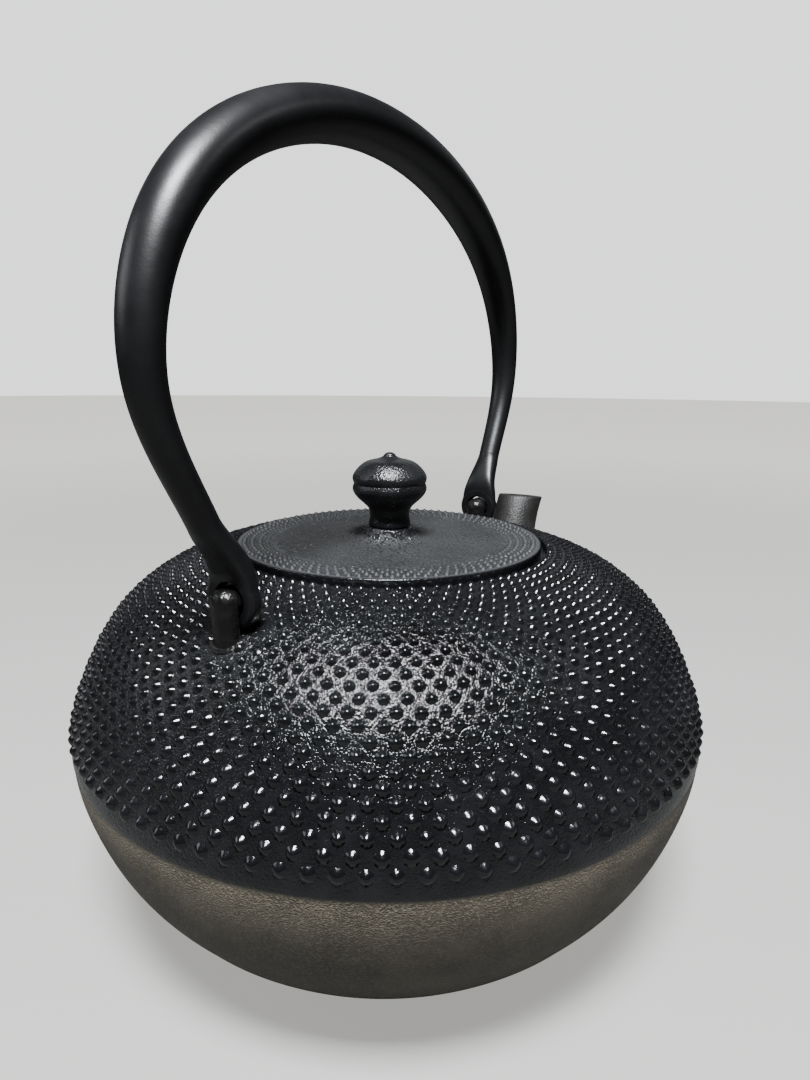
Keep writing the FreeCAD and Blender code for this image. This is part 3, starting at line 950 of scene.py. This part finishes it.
class KETTLE_OT_skin(Operator):
    """Bowl and shoulder of the casting, with lip, lid seat and cavity"""
    bl_idname = "kettle.skin"
    bl_label = "Kettle skin"

    def execute(self, context):
        sizes = context.scene.kettle_sizes
        foot_top = 0.02            # the ledge is left out below this
        outside = [(r - ledge(sizes, z) if z > foot_top else r, z) for r, z in outer_line(sizes)]
        seat = sizes.mouth_height - sizes.recess_depth
        underside = seat - sizes.seat_thickness
        inside = inner_line(sizes)[::-1]
        mouth = softened([outside[-2], (sizes.mouth_radius + sizes.lip_width, sizes.mouth_height),
                          (sizes.mouth_radius, sizes.mouth_height), (sizes.mouth_radius, seat),
                          (sizes.throat_radius, seat), (sizes.throat_radius, underside),
                          inside[0], inside[1]], 0.0004)
        foot = softened([(0.0, 0.0), (sizes.base_radius, 0.0), tuple(outside[2])], 0.0012)
        outline = foot + [tuple(p) for p in outside[3:-2]] + mouth + inside[2:] + [(0.0, sizes.wall)]
        mesh = shell("kettle_skin", turned(outline, 220))
        mesh = carved(mesh, "kettle_skin", [self.passage(), self.pocket(sizes, 1), self.pocket(sizes, -1)])
        material = finish("kettle_iron", kettle_iron, sizes, context.scene.kettle_colours)
        place("kettle_skin", mesh, material, "kettle", "cast_iron_body", "kettle_bowl", "kettle_shoulder")
        return {"FINISHED"}

    def passage(self):
        """Solid of the spout's bore where it goes through the wall."""
        _, streams = spout_streams(SPOUT_WALL)
        rings = [[stream[k] for stream in streams] for k in range(0, 60, 4)]
        return shell("passage", lofted(rings))

    def pocket(self, sizes, side):
        """Hollow under a hoop's bar for the bail's eye to turn in."""
        room = 0.0007
        return shell("pocket", lofted([
            circle(side * sizes.hoop_distance + shift * sizes.hoop_slot, sizes.eye_radius + room, 48)
            for shift in (-0.5, 0.5)]))


class KETTLE_OT_hoops(Operator):
    """Two cast hoops that carry the bail"""
    bl_idname = "kettle.hoops"
    bl_label = "Hoops"

    def execute(self, context):
        sizes = context.scene.kettle_sizes
        material = finish("hoop_iron", hoop_iron, context.scene.kettle_colours)
        for name, side in (("hoop_spout_side", 1), ("hoop_back_side", -1)):
            solids = [self.leg(sizes, side, 1), self.leg(sizes, side, -1), self.bar(sizes, side)]
            mesh = shell(name, *solids)
            mesh = finished(mesh, name, ("REMESH", {"mode": "VOXEL", "voxel_size": 0.00024}),
                            ("SMOOTH", {"factor": 0.5, "iterations": 5}))
            mesh = shaded(mesh, math.radians(80))
            place(name, mesh, material, "kettle", "cast_iron_body", "kettle_shoulder")
        return {"FINISHED"}

    def leg(self, sizes, side, end):
        """Half-round leg; end 1 is the outer one, -1 the one towards the lid."""
        corner = 0.0036            # rounding of the leg's outer top edge
        fillet = 0.0010            # where the leg meets the shoulder
        buried = 0.0022            # how far the leg starts inside the wall
        foot_rise = 0.0052         # the leg's foot, which has levels of its own
        swell = 1.10 if end > 0 else 1.04
        slant = math.tan(math.radians(3.0)) if end > 0 else 0.0
        top = PIVOT_HEIGHT + sizes.bar_radius
        face = end * sizes.hoop_slot / 2
        half = sizes.hoop_length / 2
        low = skin_height(sizes, sizes.hoop_distance + end * half * 0.9) - buried
        foot = low + foot_rise
        levels = [low + foot_rise * k / 30 for k in range(30)]
        levels += [foot + (top - 0.00003 - foot) * math.sin(math.pi / 2 * k / 30) for k in range(31)]
        rings = []
        for z in levels:
            rise = max(0.0, z - PIVOT_HEIGHT)
            wide = math.sqrt(max(sizes.bar_radius ** 2 - rise ** 2, 1e-9)) * swell
            over = max(0.0, z - (top - corner))
            inset = corner - math.sqrt(max(corner ** 2 - over ** 2, 0.0))
            lean = slant * max(0.0, top - corner - z)
            deep = half - abs(face) - inset - lean
            ring = []
            for k in range(26):
                turn = math.pi * (k / 25 - 0.5)
                skin = skin_height(sizes, sizes.hoop_distance + face + end * deep * math.cos(turn))
                short = min(max(fillet - (z - skin), 0.0), fillet)
                spread = fillet - math.sqrt(fillet ** 2 - short ** 2)
                ring.append((side * (sizes.hoop_distance + face + end * (deep + spread) * math.cos(turn)),
                             (wide + spread) * math.sin(turn), z))
            rings.append(ring)
        return lofted(rings)

    def bar(self, sizes, side):
        """Round bar that runs a little way into both legs."""
        span = sizes.hoop_slot + 0.002
        return lofted([circle(side * sizes.hoop_distance + shift * span, sizes.bar_radius, 48)
                       for shift in (-0.5, -0.25, 0.0, 0.25, 0.5)])


class KETTLE_OT_spout(Operator):
    """Cast spout with a filleted root and a soft lip"""
    bl_idname = "kettle.spout"
    bl_label = "Spout"

    def execute(self, context):
        sizes = context.scene.kettle_sizes
        line, outer = spout_streams(0.0)
        _, inner = spout_streams(SPOUT_WALL)
        outside = [self.between(stream, sizes) for stream in outer]
        inside = [self.between(stream, sizes) for stream in inner]
        rings = []
        for share in self.shares(46):
            rings.append([self.flared(stream, start + (end - 0.9 - start) * share, line, sizes)
                          for stream, (start, end) in zip(outer, outside)])
        for share in (0.16, 0.5, 0.86):
            rings.append([at_place(s, b) * (1 - share) + at_place(t, d) * share
                          for s, (_, b), t, (_, d) in zip(outer, outside, inner, inside)])
        for share in reversed(self.shares(24)):
            rings.append([at_place(stream, start + (end - 0.7 - start) * share)
                          for stream, (start, end) in zip(inner, inside)])
        mesh = shell("spout", lofted(rings, ring_closed=True), sharp=math.radians(60))
        material = finish("spout_iron", spout_iron, context.scene.kettle_colours)
        place("spout", mesh, material, "kettle", "cast_iron_body", "kettle_spout")
        return {"FINISHED"}

    def shares(self, count):
        """Even shares of the way from root to lip."""
        return [k / (count - 1) for k in range(count)]

    def between(self, stream, sizes):
        """Where a line leaves the body's wall and where it meets the lip."""
        buried = 0.0016            # how far the root starts inside the wall
        out, up = LIP_MIDDLE
        start = crossing(stream, lambda p: math.hypot(p[0], p[1]) - skin_radius(sizes, p[2]) + buried)
        end = crossing(stream, lambda p: p[2] - up + math.tan(LIP_DIP) * (p[0] - out))
        return start, end

    def flared(self, stream, place, line, sizes):
        """Point on a line, moved out from the spout near the shoulder to make the fillet."""
        most, reach = 0.0022, 0.0050
        p = at_place(stream, place)
        above = math.hypot(p[0], p[1]) - skin_radius(sizes, p[2])
        spread = most * max(0.0, 1 - max(above, 0.0) / reach) ** 2
        middle = at_place(line, place)
        away = p - np.array((middle[0], 0.0, middle[1]))
        return p + away / np.linalg.norm(away) * spread


class KETTLE_OT_shoulder_studs(Operator):
    """Hailstone studs on the shoulder"""
    bl_idname = "kettle.shoulder_studs"
    bl_label = "Shoulder studs"

    def execute(self, context):
        sizes = context.scene.kettle_sizes
        studs = context.scene.kettle_studs
        material = stud_iron("stud_iron", context.scene.kettle_colours.lacquer, 0.11)
        mesh = studded(
            "shoulder_studs", shoulder_line(sizes), material, seed=7, rows=studs.rows, scatter=0.00016,
            first_row=studs.first_row, first_pitch=studs.low_pitch, last_pitch=studs.high_pitch,
            first_width=studs.low_width, last_width=studs.high_width,
            first_height=studs.low_height, last_height=studs.high_height,
            hoop_distance=sizes.hoop_distance, hoop_half_length=sizes.hoop_length / 2,
            hoop_half_width=sizes.bar_radius, hoop_margin=0.0012,
            eye_half_thickness=sizes.eye_thickness / 2 + 0.0010, eye_half_reach=sizes.eye_radius + 0.0020,
            spout_height=0.0765, spout_half_height=0.0150, spout_half_width=0.0140, spout_margin=0.0034)
        place("shoulder_studs", mesh, material, "kettle", "cast_iron_body")
        return {"FINISHED"}


class KETTLE_OT_lid(Operator):
    """Lid plate with its mound, rounded edge and locating flange"""
    bl_idname = "kettle.lid"
    bl_label = "Lid"

    def execute(self, context):
        sizes = context.scene.kettle_sizes
        plate = 0.0032
        flange_gap, flange_thickness = 0.0008, 0.0025
        hole = SHANK_RADIUS + 0.00008
        edge_top = lid_edge_top(sizes)
        top = [tuple(p) for p in lid_top_line(sizes)]
        bottom = edge_top - sizes.lid_rim
        under = edge_top - plate
        flange = sizes.throat_radius - flange_gap
        inside = flange - flange_thickness
        edge = softened([top[-2], (sizes.lid_radius, edge_top), (sizes.lid_radius, bottom), (flange, bottom),
                         (flange, lid_low[2]), (inside, lid_low[2]), (inside, under), (hole, under),
                         (hole, top[1][1]), top[1]], 0.0006)
        mesh = shell("lid_plate", turned(top[1:-2] + edge[:-1], 200))
        material = finish("lid_iron", lid_iron, sizes, context.scene.kettle_colours)
        place("lid_plate", mesh, material, "lid", "cast_iron_lid", "lid")
        return {"FINISHED"}


class KETTLE_OT_lid_studs(Operator):
    """Hailstone studs round the lid, and the coarse grain inside them"""
    bl_idname = "kettle.lid_studs"
    bl_label = "Lid studs"

    def execute(self, context):
        studs = context.scene.kettle_studs
        guide = lid_top_line(context.scene.kettle_sizes)[::-1]
        material = stud_iron("lid_stud_iron", shade(context.scene.kettle_colours.lid_grey, 0.25), 0.58)
        inside = studs.lid_border + studs.lid_rows * studs.lid_pitch + 0.0008
        # Name, seed, rows, first row, scatter, pitch, width and its last share, height and its last share
        for name, seed, rows, first, scatter, pitch, width, narrow, height, low in (
                ("lid_studs", 21, studs.lid_rows, studs.lid_border, 0.00012, studs.lid_pitch,
                 studs.lid_width, 0.86, studs.lid_height, 0.6),
                ("lid_grain", 33, studs.grain_rows, inside, studs.grain_pitch * 0.5, studs.grain_pitch,
                 studs.grain_width, 0.6, studs.grain_height, 0.7)):
            mesh = studded(name, guide, material, seed=seed, rows=rows, first_row=first, scatter=scatter,
                           first_pitch=pitch, last_pitch=pitch, first_width=width, last_width=width * narrow,
                           first_height=height, last_height=height * low)
            place(name, mesh, material, "lid", "cast_iron_lid")
        return {"FINISHED"}


class KETTLE_OT_knob(Operator):
    """Cast knob with its shank and peened end, and the brass of its washer"""
    bl_idname = "kettle.knob"
    bl_label = "Knob and washer"

    def execute(self, context):
        sizes = context.scene.kettle_sizes
        colours = context.scene.kettle_colours
        head_radius, foot_radius = 0.0040, 0.0068
        groove_depth, groove_share = 0.00045, 0.585
        foot = knob_high[2] - sizes.knob_height
        groove = (sizes.knob_radius - groove_depth, foot + groove_share * sizes.knob_height)
        lower, upper = ([(out * sizes.knob_radius, foot + share * sizes.knob_height) for out, share in shape]
                        for shape in (KNOB_LOWER, KNOB_UPPER))
        low_line = [tuple(p) for p in smooth_line(lower[1:] + [groove], 40)]
        high_line = [tuple(p) for p in smooth_line([groove] + upper[:-2], 40)]
        nipple = [tuple(p) for p in smooth_line(upper[-3:], 12, end=(-1.0, 0.0))]
        rivet = softened([(0.0, knob_low[2]), (head_radius, knob_low[2]), (head_radius, washer_low[2]),
                          (SHANK_RADIUS, washer_low[2]), (SHANK_RADIUS, washer_low[2] + 0.0005)], 0.0009)
        base = softened([(SHANK_RADIUS, foot), (foot_radius, foot), low_line[1]], 0.0005)
        outline = rivet + [(SHANK_RADIUS, foot - 0.001)] + base + low_line[2:] + high_line[1:] + nipple[1:]
        mesh = shell("knob", turned(outline, 128))
        place("knob", mesh, finish("knob_iron", knob_iron, colours), "knob", "cast_iron_knob", "lid_knob")
        brass = finish("washer_brass", washer_brass, colours)
        for slot in frame["nodes"]["knob_washer"].material_slots:
            slot.material = brass
        return {"FINISHED"}


def bail_line(sizes):
    """Middle line of the whole bail, from pivot to pivot over the crown."""
    half = [(sizes.hoop_distance, PIVOT_HEIGHT)]
    for out, rise in reversed(BAIL_SHAPE):
        half.append((sizes.bail_half_width * out, PIVOT_HEIGHT + sizes.bail_rise * rise))
    back = [(-x, z) for x, z in half]
    return smooth_line(back + [(0.0, PIVOT_HEIGHT + sizes.bail_rise)] + half[::-1], 600)


def points_at(line, where):
    """Points of a line at distances along it."""
    steps = distances(line)
    return np.array([np.interp(where, steps, line[:, k]) for k in (0, 1)]).T


def bail_cut(sizes):
    """The middle line between the two brazed joints."""
    line = bail_line(sizes)
    return points_at(line, np.linspace(sizes.eye_reach, distances(line)[-1] - sizes.eye_reach, 190))


def bail_tree():
    """Oval tube along a line, thickest at its middle."""
    g, given = geometry_graph("tapered_bail", "Line", (), (
        "Crown thickness", "Crown width", "Neck thickness", "Neck width", "Taper"), "Tube")
    line = g.add("GeometryNodeMeshToCurve", {}, {"Mesh": given.beside("Line")})
    place_on = g.add("GeometryNodeSplineParameter", output="Factor")
    share = abs(place_on * 2.0 - 1.0) ** given.beside("Taper")
    wave = share.maths("COSINE", share * (math.pi / 2))
    swell = wave * wave
    thick = g.blend(swell, given.beside("Neck thickness"), given.beside("Crown thickness"))
    wide = g.blend(swell, given.beside("Neck width"), given.beside("Crown width"))
    noted = g.add("GeometryNodeStoreNamedAttribute", {"data_type": "FLOAT", "domain": "POINT"},
                  {"Geometry": line, "Name": "flatness", "Value": wide / thick})
    ring = g.add("GeometryNodeCurvePrimitiveCircle", {"mode": "RADIUS"}, {"Resolution": 48, "Radius": 1.0})
    tube = g.add("GeometryNodeCurveToMesh", {},
                 {"Curve": noted, "Profile Curve": ring, "Scale": thick * 0.5, "Fill Caps": True})
    flatness = g.add("GeometryNodeInputNamedAttribute", {"data_type": "FLOAT"}, {"Name": "flatness"})
    x, y, z = g.parts(g.add("GeometryNodeInputPosition"))
    oval = g.add("GeometryNodeSetPosition", {}, {"Geometry": tube, "Position": g.point(x, y * flatness, z)})
    g.close(oval, given.beside("Material"), "Tube")
    return g.tree


class KETTLE_OT_bail(Operator):
    """Tapered oval tube of the bail"""
    bl_idname = "kettle.bail"
    bl_label = "Bail tube"

    def execute(self, context):
        sizes = context.scene.kettle_sizes
        tree = bpy.data.node_groups.get("tapered_bail") or bail_tree()
        material = finish("bail_lacquer", bail_lacquer, context.scene.kettle_colours)
        mesh = grown(tree, "bail_tube", bail_cut(sizes), {
            "Crown thickness": sizes.crown_thickness, "Crown width": sizes.crown_width,
            "Neck thickness": sizes.neck_thickness, "Neck width": sizes.neck_width, "Taper": 1.5,
            "Material": material})
        mesh.attributes.remove(mesh.attributes["flatness"])
        mesh = shaded(mesh, math.radians(50))
        place("bail_tube", mesh, material, "handle", "black_iron_handle", "handle_tube")
        return {"FINISHED"}


class KETTLE_OT_eyes(Operator):
    """Forged ends of the bail, flattened from the tube's oval into a ring round each hoop's bar"""
    bl_idname = "kettle.eyes"
    bl_label = "Bail eyes"

    def execute(self, context):
        sizes = context.scene.kettle_sizes
        material = finish("bail_lacquer", bail_lacquer, context.scene.kettle_colours)
        for name, node, side in (("bail_eye_spout_side", "handle_eye_spout_side", 1),
                                 ("bail_eye_back_side", "handle_eye_back_side", -1)):
            mesh = shell(name, self.neck(sizes, side), self.ring(sizes, side))
            mesh = finished(mesh, name, ("REMESH", {"mode": "VOXEL", "voxel_size": 0.00022}))
            mesh = carved(mesh, name, [self.bore(sizes, side)])
            mesh = finished(mesh, name, ("SMOOTH", {"factor": 0.5, "iterations": 3}))
            place(name, shaded(mesh, math.radians(80)), material, "handle", "black_iron_handle", node)
        return {"FINISHED"}

    def neck(self, sizes, side):
        """Forged end from inside the tube's end down into the ring."""
        ahead = 0.001
        bend = (0.0007, 0.0078)        # where the neck turns down: out from the hoop, above its bar
        foot_rise = 0.0014
        line = bail_line(sizes)
        where = distances(line)[-1] - sizes.eye_reach
        joint, beyond = points_at(line, [where, where + ahead])
        start = (beyond - joint) / ahead
        path = smooth_line([tuple(joint), (sizes.hoop_distance + bend[0], PIVOT_HEIGHT + bend[1]),
                            (sizes.hoop_distance, PIVOT_HEIGHT + foot_rise)],
                           60, start=tuple(start), end=(0.0, -1.0))
        shape = smooth_line([(share, 0.0, *section) for share, *section in NECK_SHAPE], 60)
        inside = [joint - start * reach for reach in (0.0016, 0.0012, 0.0008, 0.0004)]
        along = np.vstack(([start] * len(inside), directions(path)))
        path = np.vstack((inside, path))
        shape = np.vstack(([shape[0]] * len(inside), shape))
        rings = []
        for (x, z), (dx, dz), (_, _, thick, wide, power) in zip(path, along, shape):
            half_thick = thick * sizes.neck_thickness / 2
            half_wide = wide * sizes.eye_radius
            ring = []
            for k in range(64):
                turn = 2 * math.pi * k / 64
                cosine, sine = math.cos(turn), math.sin(turn)
                out = math.copysign(abs(cosine) ** (2 / power), cosine) * half_thick
                across = math.copysign(abs(sine) ** (2 / power), sine) * half_wide
                ring.append((side * (x - dz * out), across, z + dx * out))
            rings.append(ring)
        return lofted(rings)

    def ring(self, sizes, side):
        """Ring with bevelled outer edges, whose hole is bored later."""
        half = sizes.eye_thickness / 2
        bevel = 0.0009
        inner = sizes.eye_hole - 0.001
        section = [(-half, inner), (-half, sizes.eye_radius - bevel), (bevel - half, sizes.eye_radius),
                   (half - bevel, sizes.eye_radius), (half, sizes.eye_radius - bevel), (half, inner)]
        rings = []
        for k in range(72):
            turn = 2 * math.pi * k / 72
            rings.append([(side * sizes.hoop_distance + x, r * math.sin(turn),
                           PIVOT_HEIGHT + r * math.cos(turn)) for x, r in section])
        return lofted(rings, ring_closed=True)

    def bore(self, sizes, side):
        """Solid of the ring's hole, wider at both faces."""
        shape = ((-0.004, 0.0007), (-0.0022, 0.0007), (-0.0012, 0.0), (0.0012, 0.0), (0.0022, 0.0007),
                 (0.004, 0.0007))
        return shell("bore", lofted([circle(side * sizes.hoop_distance + x, sizes.eye_hole + wider, 64)
                                     for x, wider in shape]))


# ---------------------------------------------------------------- panel and start

PIECES = (KETTLE_OT_stage, KETTLE_OT_skin, KETTLE_OT_hoops, KETTLE_OT_spout, KETTLE_OT_shoulder_studs,
          KETTLE_OT_lid, KETTLE_OT_lid_studs, KETTLE_OT_knob, KETTLE_OT_bail, KETTLE_OT_eyes)
GROUPS = (("kettle_sizes", KettleSizes), ("kettle_studs", KettleStuds), ("kettle_colours", KettleColours))


class KETTLE_PT_panel(Panel):
    """Sizes, colours and pieces of the kettle"""
    bl_idname = "KETTLE_PT_panel"
    bl_label = "Hailstone Kettle"
    bl_space_type = "VIEW_3D"
    bl_region_type = "UI"
    bl_category = "Kettle"

    def draw(self, context):
        for name, group in GROUPS:
            box = self.layout.box()
            for key in group.__annotations__:
                box.prop(getattr(context.scene, name), key)
        for piece in PIECES:
            self.layout.operator(piece.bl_idname)


def register():
    for made in (*(group for _, group in GROUPS), *PIECES, KETTLE_PT_panel):
        bpy.utils.register_class(made)
    for name, group in GROUPS:
        setattr(bpy.types.Scene, name, PointerProperty(type=group))


def unregister():
    for name, _ in GROUPS:
        delattr(bpy.types.Scene, name)
    for made in (KETTLE_PT_panel, *reversed(PIECES), *(group for _, group in GROUPS)):
        bpy.utils.unregister_class(made)


def main():
    register()
    bpy.ops.kettle.stage()
    bpy.ops.kettle.skin()
    bpy.ops.kettle.hoops()
    bpy.ops.kettle.spout()
    bpy.ops.kettle.shoulder_studs()
    bpy.ops.kettle.lid()
    bpy.ops.kettle.lid_studs()
    bpy.ops.kettle.knob()
    bpy.ops.kettle.bail()
    bpy.ops.kettle.eyes()


if __name__ == "__main__":
    main()
